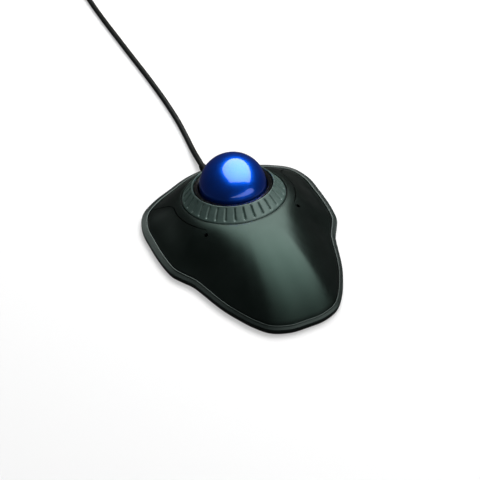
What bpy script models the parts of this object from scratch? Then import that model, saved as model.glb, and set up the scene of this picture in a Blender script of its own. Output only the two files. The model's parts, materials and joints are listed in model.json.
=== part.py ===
"""Trackball mouse with a scroll ring round its ball.

Metres, +Z up. +Y points to the cord, -Y to the wrist. The origin is the middle of the body on the desk.
"""
import math

import bmesh
import bpy
import numpy as np
from mathutils import Matrix, Vector

MM = 0.001
GAP = 0.3 * MM

# Ball, and the tilted axis that it shares with the ring and the cup
BALL_RADIUS = 20 * MM
BALL_CENTRE = Vector((0, 28.2, 25.65)) * MM
TILT = math.radians(10.7)
TURN_FRAME = Matrix.Translation(BALL_CENTRE) @ Matrix.Rotation(-TILT, 4, "X")
RING_AXIS = Vector((0, math.sin(TILT), math.cos(TILT)))

# Scroll ring: a ribbed cone, sizes in radius and height along the tilted axis from the ball's centre
RIB_COUNT = 32
RING_EDGE_HEIGHT = -6.2 * MM
RING_PROFILE = [
    (23.8, 0.9), (24.3, 1.3), (25.2, 0.0), (29.9, -5.1), (30.9, -6.2), (30.9, -8.5),
    (29.3, -8.5), (25.3, -4.2), (25.3, -8.0), (23.8, -8.0),
]
GROOVED_POINTS = (2, 3)
GROOVE_INWARD = Vector((-0.73, -0.68))
GROOVE_DEPTH = 0.5 * MM
SLOT_COUNT = 24

# Plan outline of the right half, back to front
HALF_OUTLINE = [
    (0, 70.6), (14, 68.3), (27, 62.8), (39.5, 57), (50, 49), (55.3, 37), (56.1, 23), (55.9, 11), (54.9, 1.5),
    (53.4, -4.5), (50.2, -10), (45.9, -16.8), (43.2, -24.5), (40.6, -32.8), (37.6, -41), (33.6, -49.3),
    (28.2, -58.7), (21, -67), (10.8, -71.2), (0, -71.8),
]
STATIONS = 64
BAND_WIDTH = 3.1 * MM
BAND_BOTTOM = 2.4 * MM
BAND_EDGE = 4.3 * MM
RIM_HEIGHT = 5.7 * MM

# Top surface: slopes where it leaves the ring hole and where it meets the rim, at front, side and back
HOLE_RADIUS = 31.4 * MM
HOLE_CENTRE = BALL_CENTRE + RING_EDGE_HEIGHT * RING_AXIS
HOLE_SLOPES = (-0.02, -0.12, -0.5)
RIM_SLOPES = (-0.75, -0.5, -0.9)
SHELL_DEPTH = 2.0 * MM

# Buttons: the slit on the left side, from the rim to the small hole where it ends
SLIT_RIM_RUN = [(-50, 54.5), (-44.5, 48.4), (-40.8, 43.4), (-37.6, 39)]
SLIT_RADIUS = 36.8 * MM
SLIT_ARC = (math.radians(168), math.radians(220))
SLIT_WIDTH = 0.45 * MM
SLIT_END = (-29.4 * MM, 1.0 * MM)
SLIT_END_RADIUS = 1.1 * MM
HINGE_LENGTH = 30 * MM
SWITCH_PLACE = (39.5 * MM, 20 * MM)

# Base, board and fasteners
BASE_BOTTOM = 0.7 * MM
BASE_TOP = 2.1 * MM
BOARD_BOTTOM = 3.6 * MM
BOARD_TOP = 5.0 * MM
ON_BOARD = BOARD_TOP + GAP
HALF_BOARD = [(18, 54.5), (27, 49), (38, 39), (47, 33), (47, 10), (38, -8)]
BOARD_HOLE_RADIUS = 20.5 * MM
CASE_HEAD_HOLE = 2.8 * MM
CASE_SHAFT_HOLE = 1.6 * MM
BOARD_SHAFT_HOLE = 1.2 * MM
CASE_SCREWS = [(-37, 46), (37, 46), (-14, -50), (14, -50)]
BOARD_SCREWS = [(-33, 0), (33, 0), (24, 46)]
BOSS_SPLIT = 4.9 * MM
FEET = [(-38, 38), (38, 38), (-20, -52), (20, -52)]
FOOT_RADIUS = 5 * MM
CUP_INNER = 21 * MM
CUP_OUTER = 22.8 * MM
COLLAR_PROFILE = [(20.6, 0.1), (20.75, 0.6), (22.9, 1.0), (23.3, 0.6), (23.3, -1.2)]
CUP_LEG_ANGLES = [math.radians(a) for a in (30, 150, 270)]
CUP_LEG_RADIUS = 2.5 * MM
CUP_LEG_REACH = 15.5 * MM
BEAD_ANGLES = [math.radians(a) for a in (90, 210, 330)]
BEAD_LEAN = math.radians(50)
BEAD_DISTANCE = 21.3 * MM
BEAD_RADIUS = 1.0 * MM
FRONT = math.radians(270)
SENSOR_LEAN = math.radians(60)
LAMP_OFFSET = 7 * MM

# Cord: 1.5 m, straight back over the desk, then a coil with the plug beside it
CORD_RADIUS = 1.75 * MM
CORD_EXIT_HEIGHT = 4.2 * MM
CORD_ROUTE = [
    (0, 74.8, 4.2), (0.4, 80, 4.0), (1.1, 88, 3.0), (2.2, 97, 2.0), (3.3, 107, 1.76), (4.5, 122, 1.76),
    (5.0, 140, 1.76), (4.8, 160, 1.76), (4.1, 180, 1.76), (3.1, 200, 1.76), (2.2, 220, 1.76),
    (1.3, 240, 1.76), (0.8, 256, 1.76), (0.5, 270, 1.9), (0.5, 287, 2.5),
]
CORD_END_ROUTE = [
    (37.6, 324.2, 12.0), (44, 322.6, 9.4), (50, 319, 6.6), (55.2, 314, 4.8), (58.8, 308, 4.1),
    (60, 301.6, 4.0),
]
INNER_LEAD_ROUTE = [(0, 59.8, 4.2), (0.4, 58.4, 4.5), (3.5, 57, 5.7), (9.5, 56.8, 6.2), (12.4, 54.8, 6.1)]
INNER_LEAD_RADIUS = 0.8 * MM
COIL_CENTRE = (24 * MM, 301 * MM)
COIL_INNER = 12.7 * MM
COIL_OUTER = 25.4 * MM
COIL_BOTTOM = 0.9 * MM
COIL_TOP = 14.9 * MM
TIE_THICKNESS = 0.6 * MM
TIE_WIDTH = 5 * MM
PLUG_PLACE = (60 * MM, 301.3 * MM, 4.0 * MM)
PLUG_GRIP = [(0, 2.9, 2.7), (5.2, 3.2, 2.8), (7.0, 4.6, 3.4), (8.4, 6.4, 3.75), (11.0, 7.75, 4.0),
             (22.6, 7.7, 4.0), (24.0, 7.0, 3.4)]
PLUG_CORNER = 1.2
PLUG_METAL = (12 * MM, 12 * MM, 4.5 * MM)
PLUG_WALL = 0.3 * MM


def clear_scene():
    """Remove every object of the start-up scene."""
    for item in list(bpy.data.objects):
        bpy.data.objects.remove(item, do_unlink=True)


# ---------------------------------------------------------------- helpers

def material(name, colour, roughness, metallic=0.0):
    """A Principled material, made once per name."""
    found = bpy.data.materials.get(name)
    if found:
        return found
    made = bpy.data.materials.new(name)
    made.use_nodes = True
    shader = made.node_tree.nodes["Principled BSDF"]
    shader.inputs["Base Color"].default_value = (*colour, 1.0)
    shader.inputs["Roughness"].default_value = roughness
    shader.inputs["Metallic"].default_value = metallic
    return made


FINISHES = {
    "shell_black": ((0.035, 0.042, 0.038), 0.38),
    "rim_gray": ((0.13, 0.18, 0.165), 0.45),
    "ring_gray": ((0.17, 0.21, 0.19), 0.5),
    "ball_blue": ((0.0, 0.02, 0.42), 0.12),
    "collar_black": ((0.008, 0.009, 0.009), 0.15),
    "inner_black": ((0.02, 0.02, 0.02), 0.6),
    "ceramic": ((0.9, 0.88, 0.84), 0.2),
    "board_green": ((0.02, 0.16, 0.06), 0.45),
    "chip_black": ((0.02, 0.02, 0.022), 0.4),
    "lens_clear": ((0.85, 0.88, 0.9), 0.05),
    "plunger_red": ((0.45, 0.05, 0.04), 0.45),
    "ribbon_amber": ((0.55, 0.3, 0.08), 0.4),
    "steel": ((0.62, 0.62, 0.63), 0.3, 1.0),
    "foot_rubber": ((0.03, 0.03, 0.03), 0.85),
    "cord_black": ((0.015, 0.016, 0.016), 0.45),
    "contact_white": ((0.8, 0.8, 0.78), 0.5),
}


def place(name, shape, finish, smooth=True):
    """Turn a bmesh into a named object with its material."""
    bmesh.ops.recalc_face_normals(shape, faces=shape.faces)
    if shape.calc_volume(signed=True) < 0:
        bmesh.ops.reverse_faces(shape, faces=shape.faces)
    mesh = bpy.data.meshes.new(name)
    shape.to_mesh(mesh)
    shape.free()
    if smooth:
        mesh.shade_smooth()
        mesh.set_sharp_from_angle(angle=math.radians(35))
    if finish:
        mesh.materials.append(material(finish, *FINISHES[finish]))
    item = bpy.data.objects.new(name, mesh)
    bpy.context.scene.collection.objects.link(item)
    return item


def loft(loops, closed=False):
    """Join equal closed loops by quads. An open loft gets flat end caps."""
    shape = bmesh.new()
    rows = [[shape.verts.new(point) for point in loop] for loop in loops]
    count = len(rows[0])
    pairs = list(zip(rows, rows[1:]))
    if closed:
        pairs.append((rows[-1], rows[0]))
    for low, high in pairs:
        for i in range(count):
            j = (i + 1) % count
            shape.faces.new((low[i], low[j], high[j], high[i]))
    if not closed:
        shape.faces.new(rows[0])
        shape.faces.new(rows[-1])
    return shape


def prism(points, low, high):
    """A vertical prism over a plan polygon."""
    return loft([[(x, y, z) for x, y in points] for z in (low, high)])


def block(low, high, matrix=None):
    """A box between two corners, moved by a matrix."""
    corners = [(low[0], low[1]), (high[0], low[1]), (high[0], high[1]), (low[0], high[1])]
    shape = prism(corners, low[2], high[2])
    if matrix:
        shape.transform(matrix)
    return shape


def centred_block(x, y, half_x, half_y, low, high):
    """An upright box about a plan point."""
    return block((x - half_x, y - half_y, low), (x + half_x, y + half_y, high))


def turned(profile, segments, matrix=None):
    """Spin a closed (radius, height) profile about Z. Points on the axis are merged."""
    shape = bmesh.new()
    corners = [shape.verts.new((r, 0, h)) for r, h in profile]
    edges = [shape.edges.new((a, b)) for a, b in zip(corners, corners[1:] + corners[:1])
             if a.co.x > 1e-7 or b.co.x > 1e-7]
    bmesh.ops.spin(shape, geom=corners + edges, cent=(0, 0, 0), axis=(0, 0, 1),
                   angle=math.tau, steps=segments, use_merge=True)
    bmesh.ops.remove_doubles(shape, verts=shape.verts, dist=1e-6)
    if matrix:
        shape.transform(matrix)
    return shape


def rod(x, y, low, high, radius, segments=20):
    """A vertical round rod."""
    angles = [math.tau * i / segments for i in range(segments)]
    return prism([(x + radius * math.cos(a), y + radius * math.sin(a)) for a in angles], low, high)


def combine(target, shape, operation):
    """Apply a Boolean of a helper shape to an object."""
    helper = place(target.name + "_helper", shape, None, smooth=False)
    helper.hide_render = True
    helper.display_type = "WIRE"
    change = target.modifiers.new("combine", "BOOLEAN")
    change.object = helper
    change.operation = operation
    change.solver = "EXACT"
    graph = bpy.context.evaluated_depsgraph_get()
    result = bpy.data.meshes.new_from_object(target.evaluated_get(graph))
    target.modifiers.remove(change)
    old = target.data
    target.data = result
    bpy.data.meshes.remove(old)
    bpy.data.objects.remove(helper, do_unlink=True)


def curve_points(control, steps, closed=False):
    """Points of a Catmull-Rom curve through the control points."""
    points = np.array(control, float)
    count = len(points)
    if closed:
        padded = np.vstack([points[-1:], points, points[:2]])
        spans = count
    else:
        padded = np.vstack([2 * points[:1] - points[1:2], points, 2 * points[-1:] - points[-2:-1]])
        spans = count - 1
    result = []
    for i in range(spans):
        a, b, c, d = padded[i:i + 4]
        for k in range(steps):
            t = k / steps
            result.append(0.5 * (2 * b + (c - a) * t + (2 * a - 5 * b + 4 * c - d) * t ** 2
                                 + (3 * b - a - 3 * c + d) * t ** 3))
    if not closed:
        result.append(points[-1])
    return np.array(result)


def arc_points(radius, start, end, count):
    """Points of an arc about the origin, angles in degrees."""
    return [(radius * math.cos(a), radius * math.sin(a)) for a in np.radians(np.linspace(start, end, count))]


def spaced(points, count, closed=False):
    """The same line as evenly spaced points."""
    line = np.vstack([points, points[:1]]) if closed else points
    reach = np.concatenate([[0], np.cumsum(np.linalg.norm(np.diff(line, axis=0), axis=1))])
    at = np.linspace(0, reach[-1], count, endpoint=not closed)
    return np.stack([np.interp(at, reach, line[:, k]) for k in range(line.shape[1])], axis=1)


# ---------------------------------------------------------------- outline and top surface

def full_outline():
    """The plan outline as a fine closed line, in metres, clockwise from the back."""
    left = [(-x, y) for x, y in reversed(HALF_OUTLINE[1:-1])]
    return curve_points(HALF_OUTLINE + left, 12, closed=True) * MM


def inset(line, distance):
    """Move a clockwise closed line inwards."""
    along = np.roll(line, -1, axis=0) - np.roll(line, 1, axis=0)
    along /= np.linalg.norm(along, axis=1)[:, None]
    return line + distance * np.stack([along[:, 1], -along[:, 0]], axis=1)


OUTLINE = full_outline()


def plan_angle(x, y):
    """Direction of a plan point from the middle of the ring hole."""
    return math.atan2(y - HOLE_CENTRE.y, x)


def reach(angle, distance):
    """Radius of the outline, moved inwards by a distance, in one direction from the ring hole."""
    line = inset(OUTLINE, distance)
    angles = np.arctan2(line[:, 1] - HOLE_CENTRE.y, line[:, 0])
    radii = np.hypot(line[:, 0], line[:, 1] - HOLE_CENTRE.y)
    order = np.argsort(angles)
    return np.interp(angle, angles[order], radii[order], period=math.tau)


ANGLES = [plan_angle(x, y) for x, y in spaced(OUTLINE, STATIONS, closed=True)]


def outline_loop(distance, height):
    """One loop of the outline, moved inwards, at a height."""
    radii = reach(np.array(ANGLES), distance)
    return [(r * math.cos(a), HOLE_CENTRE.y + r * math.sin(a), height) for a, r in zip(ANGLES, radii)]


def hole_edge(angle):
    """Plan radius and height of the tilted ring hole's edge in one direction."""
    radius = HOLE_RADIUS / math.hypot(math.cos(angle), math.sin(angle) / math.cos(TILT))
    return radius, HOLE_CENTRE.z - math.tan(TILT) * radius * math.sin(angle)


def by_direction(values, angle):
    """A smooth value from its values at the front, side and back."""
    front, side, back = values
    turn = angle + math.pi / 2
    second = ((front + back) / 2 - side) / 2
    return (front + back) / 2 - second + (front - back) / 2 * math.cos(turn) + second * math.cos(2 * turn)


def surface_height(angle, t, rim_radius):
    """Height of the top surface at fraction t from the ring hole to the rim."""
    start, start_height = hole_edge(angle)
    span = rim_radius - start
    rise_start = by_direction(HOLE_SLOPES, angle) * span
    rise_end = by_direction(RIM_SLOPES, angle) * span
    return ((2 * t ** 3 - 3 * t ** 2 + 1) * start_height + (t ** 3 - 2 * t ** 2 + t) * rise_start
            + (3 * t ** 2 - 2 * t ** 3) * RIM_HEIGHT + (t ** 3 - t ** 2) * rise_end)


def top_height(x, y):
    """Height of the top surface over a plan point."""
    angle = plan_angle(x, y)
    start, _ = hole_edge(angle)
    rim = float(reach(angle, BAND_WIDTH + GAP))
    t = (math.hypot(x, y - HOLE_CENTRE.y) - start) / (rim - start)
    return surface_height(angle, t, rim)


def boss_top(x, y, radius):
    """Height that keeps a round boss inside the shell's wall on its downhill side."""
    edge = [top_height(x + dx, y + dy) for dx, dy in arc_points(radius, 0, 360, 8)]
    return min(edge) - 0.3 * SHELL_DEPTH


def shell_shape():
    """The whole top shell as one closed skin: outer surface out to the rim and inner surface back."""
    sections = []
    rims = reach(np.array(ANGLES), BAND_WIDTH + GAP)
    steps = (0, 0.14, 0.34, 0.56, 0.8, 1.0)
    for angle, rim in zip(ANGLES, rims):
        start, _ = hole_edge(angle)
        outer = []
        inner = []
        for t in steps:
            radius = start + t * (rim - start)
            point = Vector((radius * math.cos(angle), HOLE_CENTRE.y + radius * math.sin(angle),
                            surface_height(angle, t, rim)))
            down = ((1 - t) * RING_AXIS + t * Vector((0, 0, 1))) * SHELL_DEPTH
            outer.append(point)
            inner.append(point - down)
        sections.append(outer + inner[::-1])
    return loft(sections, closed=True)


# ---------------------------------------------------------------- shells and buttons

def slit_line():
    """Plan line of the left slit, from beyond the rim to the hole at its end."""
    arc = [(SLIT_RADIUS * math.cos(a) / MM, (HOLE_CENTRE.y + SLIT_RADIUS * math.sin(a)) / MM)
           for a in np.linspace(*SLIT_ARC, 6)]
    return curve_points(SLIT_RIM_RUN + arc, 2) * MM


def button_region(side, grow):
    """Plan polygon that cuts a button out of the shell. A positive grow widens it."""
    line = [tuple(p) for p in slit_line()]
    end = Vector(SLIT_END)
    hinge = end + HINGE_LENGTH * Vector((-1, -1)).normalized()
    far = [tuple(end), tuple(hinge), (-90 * MM, -20 * MM), (-90 * MM, 60 * MM)]
    polygon = inset(np.array(line + far), -grow)
    points = [(side * x, y) for x, y in polygon]
    return points if side > 0 else points[::-1]


def top_parts():
    """The cover and the two buttons, cut from one shell, with their posts and bosses."""
    cover = place("top_cover", shell_shape(), "shell_black")
    for side, name in ((1, "left_button"), (-1, "right_button")):
        button = place(name, shell_shape(), "shell_black")
        combine(button, prism(button_region(side, 0), -10 * MM, 60 * MM), "INTERSECT")
        x, y = -side * SWITCH_PLACE[0], SWITCH_PLACE[1]
        combine(button, rod(x, y, 11.3 * MM, boss_top(x, y, 1.6 * MM), 1.6 * MM, 10), "UNION")
        combine(cover, prism(button_region(side, SLIT_WIDTH), -10 * MM, 60 * MM), "DIFFERENCE")
        hole = (side * SLIT_END[0], SLIT_END[1])
        for part in (cover, button):
            combine(part, rod(*hole, 0, 40 * MM, SLIT_END_RADIUS, 16), "DIFFERENCE")
    for x, y in CASE_SCREWS:
        x, y = x * MM, y * MM
        combine(cover, rod(x, y, BOSS_SPLIT + GAP, boss_top(x, y, 3.2 * MM), 3.2 * MM, 12), "UNION")
        combine(cover, rod(x, y, BOSS_SPLIT, 7.3 * MM, CASE_SHAFT_HOLE, 10), "DIFFERENCE")
    combine(cover, cord_notch(), "DIFFERENCE")


def rim_band():
    """Chamfered band round the edge, notched at the back for the strain relief."""
    section = [(0, BAND_BOTTOM), (0, BAND_EDGE), (BAND_WIDTH, RIM_HEIGHT), (BAND_WIDTH, BAND_BOTTOM)]
    band = place("rim_band", loft([outline_loop(d, z) for d, z in section], closed=True), "rim_gray")
    combine(band, cord_notch(), "DIFFERENCE")


def bottom_shell():
    """Base plate with screw bosses, board posts, foot recesses and the cord notch."""
    plate = loft([outline_loop(0.4 * MM, BASE_BOTTOM), outline_loop(0.1 * MM, BASE_TOP)])
    base = place("bottom_shell", plate, "inner_black")
    cases = [(x * MM, y * MM) for x, y in CASE_SCREWS]
    boards = [(x * MM, y * MM) for x, y in BOARD_SCREWS]
    for x, y in cases:
        combine(base, rod(x, y, BASE_TOP - 1 * MM, BOSS_SPLIT, 3.7 * MM, 14), "UNION")
    for x, y in boards:
        combine(base, rod(x, y, BASE_TOP - 1 * MM, BOARD_BOTTOM - GAP, 2.6 * MM, 10), "UNION")
    for x, y in cases:
        combine(base, rod(x, y, 0, 3.1 * MM, CASE_HEAD_HOLE, 12), "DIFFERENCE")
        combine(base, rod(x, y, 0, BOSS_SPLIT + GAP, CASE_SHAFT_HOLE, 10), "DIFFERENCE")
    for x, y in boards:
        combine(base, rod(x, y, BASE_TOP + GAP, BOARD_BOTTOM, BOARD_SHAFT_HOLE, 8), "DIFFERENCE")
    for x, y in FEET:
        combine(base, rod(x * MM, y * MM, 0, 1.2 * MM, FOOT_RADIUS + GAP, 20), "DIFFERENCE")
    combine(base, cord_notch(), "DIFFERENCE")


def cord_notch():
    """Round cutter along Y through the back wall at the cord's height."""
    place_it = Matrix.Translation((0, 60 * MM, CORD_EXIT_HEIGHT)) @ Matrix.Rotation(-math.pi / 2, 4, "X")
    return turned([(0, 0), (2.5 * MM, 0), (2.5 * MM, 15 * MM), (0, 15 * MM)], 14, place_it)


# ---------------------------------------------------------------- ring, ball and cup

def scroll_ring():
    """Ribbed cone with a sleeve that turns on the cup. The grooves are sunk stations of the lathe."""
    step = math.tau / RIB_COUNT
    sections = []
    for i in range(RIB_COUNT):
        for offset, depth in ((-0.09, 0), (0, 1), (0.09, 0)):
            angle = (i + offset) * step
            section = []
            for k, (r, h) in enumerate(RING_PROFILE):
                sunk = depth * GROOVE_DEPTH if k in GROOVED_POINTS else 0
                point = Vector((r, h)) * MM + sunk * GROOVE_INWARD
                section.append((point.x * math.cos(angle), point.x * math.sin(angle), point.y))
            sections.append(section)
    shape = loft(sections, closed=True)
    shape.transform(TURN_FRAME)
    place("scroll_ring", shape, "ring_gray")


def encoder_ring():
    """Skirt under the scroll ring, slotted from below for the light gate."""
    inner, outer, top, bottom, slot_top = 27.0 * MM, 28.2 * MM, -7.7 * MM, -13.5 * MM, -10.9 * MM
    step = math.tau / SLOT_COUNT
    sections = []
    for i in range(SLOT_COUNT):
        for offset, low in ((0.0, bottom), (0.5, bottom), (0.53, slot_top), (0.97, slot_top)):
            angle = (i + offset) * step
            c, s = math.cos(angle), math.sin(angle)
            sections.append([(inner * c, inner * s, low), (outer * c, outer * s, low),
                             (outer * c, outer * s, top), (inner * c, inner * s, top)])
    shape = loft(sections, closed=True)
    shape.transform(TURN_FRAME)
    place("encoder_ring", shape, "chip_black", smooth=False)


def ring_track():
    """Flat annular seat under the scroll ring's edge, fixed below the cover."""
    profile = [(28.9, -10.3), (32.6, -10.3), (32.6, -8.9), (28.9, -8.9)]
    place("ring_track", turned([(r * MM, h * MM) for r, h in profile], 40, TURN_FRAME), "inner_black")


def ball():
    """The ball, with its origin at its centre."""
    shape = bmesh.new()
    bmesh.ops.create_uvsphere(shape, u_segments=24, v_segments=12, radius=BALL_RADIUS)
    item = place("ball", shape, "ball_blue")
    item.data.shade_smooth()
    item.location = BALL_CENTRE


def from_cup(angle, lean, distance, offset=0.0):
    """Frame whose +Z points at the ball from a plan angle and a lean from straight down."""
    away = Vector((math.cos(angle) * math.sin(lean), math.sin(angle) * math.sin(lean), -math.cos(lean)))
    turn = Matrix.Rotation(angle + math.pi / 2, 4, "Z") @ Matrix.Rotation(-lean, 4, "X")
    shift = Matrix.Translation((offset, 0, 0))
    return Matrix.Translation(BALL_CENTRE + away * distance) @ turn @ shift


def ball_cup():
    """Bowl under the ball with its black collar, three bead pockets, two sensor windows and three legs."""
    inner = arc_points(CUP_INNER, -90, -4, 8)
    outer = arc_points(CUP_OUTER, -7, -90, 7)
    inner[0] = (0, inner[0][1])
    outer[-1] = (0, outer[-1][1])
    profile = inner + [(r * MM, h * MM) for r, h in COLLAR_PROFILE] + outer
    cup = place("ball_cup", turned(profile, 32, TURN_FRAME), "collar_black")
    for angle in BEAD_ANGLES:
        pocket = bmesh.new()
        bmesh.ops.create_uvsphere(pocket, u_segments=8, v_segments=6, radius=BEAD_RADIUS + 0.25 * MM)
        pocket.transform(from_cup(angle, BEAD_LEAN, BEAD_DISTANCE))
        combine(cup, pocket, "DIFFERENCE")
    for offset, radius in ((0, 3 * MM), (LAMP_OFFSET, 1.9 * MM)):
        window = turned([(0, -5 * MM), (radius, -5 * MM), (radius, 5 * MM), (0, 5 * MM)], 10,
                        from_cup(FRONT, SENSOR_LEAN, CUP_INNER, offset))
        combine(cup, window, "DIFFERENCE")
    for angle in CUP_LEG_ANGLES:
        x = BALL_CENTRE.x + CUP_LEG_REACH * math.cos(angle)
        y = BALL_CENTRE.y + CUP_LEG_REACH * math.sin(angle)
        combine(cup, rod(x, y, BASE_TOP + GAP, 9.6 * MM, CUP_LEG_RADIUS, 8), "UNION")


def bearing_beads():
    """Three ceramic beads that carry the ball."""
    for number, angle in enumerate(BEAD_ANGLES, start=1):
        shape = bmesh.new()
        bmesh.ops.create_uvsphere(shape, u_segments=8, v_segments=6, radius=BEAD_RADIUS)
        shape.transform(from_cup(angle, BEAD_LEAN, BEAD_DISTANCE))
        place(f"bearing_bead_{number}", shape, "ceramic")


# ---------------------------------------------------------------- electronics

def main_board():
    """Circuit board that goes round the cup, with its screw holes."""
    points = [(x * MM, y * MM) for x, y in HALF_BOARD]
    points += [(-x, y) for x, y in reversed(points)]
    board = place("main_board", prism(points, BOARD_BOTTOM, BOARD_TOP), "board_green", smooth=False)
    combine(board, rod(BALL_CENTRE.x, BALL_CENTRE.y, 0, 20 * MM, BOARD_HOLE_RADIUS, 32), "DIFFERENCE")
    for x, y in BOARD_SCREWS:
        combine(board, rod(x * MM, y * MM, 0, 20 * MM, BOARD_SHAFT_HOLE, 8), "DIFFERENCE")


def switches():
    """A microswitch and its plunger under each button."""
    for side, name in ((-1, "left"), (1, "right")):
        x, y = side * SWITCH_PLACE[0], SWITCH_PLACE[1]
        case = centred_block(x, y, 2.6 * MM, 6.4 * MM, ON_BOARD, 10.3 * MM)
        body = place(f"{name}_switch", case, "chip_black", smooth=False)
        combine(body, centred_block(x, y, 1.4 * MM, 1.9 * MM, 8.4 * MM, 12 * MM), "DIFFERENCE")
        pin = centred_block(x, y, 1.1 * MM, 1.6 * MM, 9.4 * MM, 11.0 * MM)
        place(f"{name}_plunger", pin, "plunger_red", smooth=False)


def sensor_group():
    """Ball sensor in front of the cup: lens, chip, lamp and their small board, looking at the ball."""
    def layer(name, low, high, near, far, finish):
        corners = ((low[0] * MM, low[1] * MM, -far * MM), (high[0] * MM, high[1] * MM, -near * MM))
        shape = block(*corners, from_cup(FRONT, SENSOR_LEAN, 0))
        place(name, shape, finish, smooth=False)

    layer("sensor_lens", (-4.2, -3.6), (4.2, 3.6), 23.4, 25.0, "lens_clear")
    layer("sensor_chip", (-4.6, -4.2), (4.6, 4.2), 25.3, 27.6, "chip_black")
    layer("sensor_board", (-9, -5.5), (10, 5.5), 27.9, 29.1, "board_green")
    lamp = turned([(0, -27.6), (1.5, -27.6), (1.5, -24.6), (1.1, -23.6), (0, -23.2)], 12)
    lamp.transform(Matrix.Scale(MM, 4))
    lamp.transform(from_cup(FRONT, SENSOR_LEAN, 0, LAMP_OFFSET))
    place("sensor_lamp", lamp, "lens_clear")


def sensor_ribbon():
    """Flat flexible lead from the sensor board down to its connector on the main board."""
    middle = curve_points([(1.2, 11.2), (-1.6, 11.6), (-4.4, 10.2), (-5.5, 7.9)], 3) * MM
    along = np.gradient(middle, axis=0)
    along /= np.linalg.norm(along, axis=1)[:, None]
    side = np.stack([-along[:, 1], along[:, 0]], axis=1) * 0.12 * MM
    loops = [[(-4 * MM, *(p + n)), (4 * MM, *(p + n)), (4 * MM, *(p - n)), (-4 * MM, *(p - n))]
             for p, n in zip(middle, side)]
    place("sensor_ribbon", loft(loops), "ribbon_amber")
    place("ribbon_connector", block((-5.5 * MM, -7.2 * MM, ON_BOARD), (5.5 * MM, -4 * MM, 7.6 * MM)),
          "contact_white", smooth=False)


def light_gate():
    """Emitter inside and photo sensor outside the slotted skirt, at the back left."""
    turn = Matrix.Translation((0, BALL_CENTRE.y - 2.5 * MM, 0)) @ Matrix.Rotation(math.radians(135), 4, "Z")
    for name, near, far, high in (("infrared_emitter", 23.6, 25.8, 10.2),
                                  ("photo_sensor", 29.0, 31.0, 9.8)):
        shape = block((near * MM, -2.2 * MM, ON_BOARD), (far * MM, 2.2 * MM, high * MM), turn)
        place(name, shape, "chip_black", smooth=False)


def board_components():
    """Controller chip, crystal, capacitor and the cord's connector."""
    place("controller_chip", block((29 * MM, 4 * MM, ON_BOARD), (36 * MM, 11 * MM, 6.6 * MM)),
          "chip_black", smooth=False)
    place("crystal", block((25 * MM, -4 * MM, ON_BOARD), (29 * MM, 2 * MM, 8 * MM)),
          "steel", smooth=False)
    place("capacitor", rod(-28 * MM, 4 * MM, ON_BOARD, 11 * MM, 2.5 * MM), "chip_black")
    place("cord_connector", block((8 * MM, 49.8 * MM, ON_BOARD), (17 * MM, 54.3 * MM, 6.9 * MM)),
          "contact_white", smooth=False)


# ---------------------------------------------------------------- fasteners and feet

def screw(name, x, y, head, shaft_end, head_radius, shaft_radius):
    """Pan-head screw along Z with a cross recess. head is the (outer, inner) height of the head."""
    outer, inner = head
    rim = 0.25 * (inner - outer)
    profile = [(0, outer), (head_radius * 0.8, outer), (head_radius, outer + rim), (head_radius, inner),
               (shaft_radius, inner), (shaft_radius, shaft_end), (0, shaft_end)]
    item = place(name, turned(profile, 12, Matrix.Translation((x, y, 0))), "steel")
    reach_in = outer + 0.45 * (inner - outer)
    low, high = sorted((reach_in, outer - (inner - outer)))
    long, short = head_radius * 0.6, head_radius * 0.16
    for half_x, half_y in ((long, short), (short, long)):
        combine(item, centred_block(x, y, half_x, half_y, low, high), "DIFFERENCE")


def fasteners():
    """Case screws from below and board screws from above."""
    for number, (x, y) in enumerate(CASE_SCREWS, start=1):
        screw(f"case_screw_{number}", x * MM, y * MM, (1.4 * MM, 2.8 * MM), 7.0 * MM, 2.4 * MM, 1.3 * MM)
    for number, (x, y) in enumerate(BOARD_SCREWS, start=1):
        screw(f"board_screw_{number}", x * MM, y * MM, (6.5 * MM, ON_BOARD), 2.8 * MM, 2.0 * MM, 0.9 * MM)


def feet():
    """Rubber pads in the base's recesses."""
    profile = [(0, 0), (FOOT_RADIUS - 0.3 * MM, 0), (FOOT_RADIUS, 0.3 * MM), (FOOT_RADIUS, 0.9 * MM),
               (0, 0.9 * MM)]
    for number, (x, y) in enumerate(FEET, start=1):
        shape = turned(profile, 20, Matrix.Translation((x * MM, y * MM, 0)))
        place(f"foot_{number}", shape, "foot_rubber")


# ---------------------------------------------------------------- cord

def strain_relief():
    """Short tapered grommet held by a square flange inside the back wall."""
    place_it = Matrix.Translation((0, 0, CORD_EXIT_HEIGHT)) @ Matrix.Rotation(-math.pi / 2, 4, "X")
    profile = [(0, 60.5), (2.2, 60.5), (2.2, 70.9), (2.5, 71.0), (2.45, 72.0), (2.0, 74.5), (0, 74.5)]
    shape = turned([(r * MM, h * MM) for r, h in profile], 14, place_it)
    item = place("strain_relief", shape, "cord_black")
    combine(item, block((-3.4 * MM, 60.2 * MM, 2.4 * MM), (3.4 * MM, 61.6 * MM, 7.2 * MM)), "UNION")


def tube(name, route, radius):
    """A round tube through a route given in millimetres."""
    line = curve_points(route, 8) * MM
    length = np.linalg.norm(np.diff(line, axis=0), axis=1).sum()
    points = spaced(line, max(6, round(length / (5 * radius))))
    curve = bpy.data.curves.new(name, "CURVE")
    curve.dimensions = "3D"
    curve.bevel_depth = radius
    curve.bevel_resolution = 2
    curve.use_fill_caps = True
    spline = curve.splines.new("POLY")
    spline.points.add(len(points) - 1)
    for target, point in zip(spline.points, points):
        target.co = (*point, 1.0)
    curve.materials.append(material("cord_black", *FINISHES["cord_black"]))
    item = bpy.data.objects.new(name, curve)
    bpy.context.scene.collection.objects.link(item)


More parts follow.
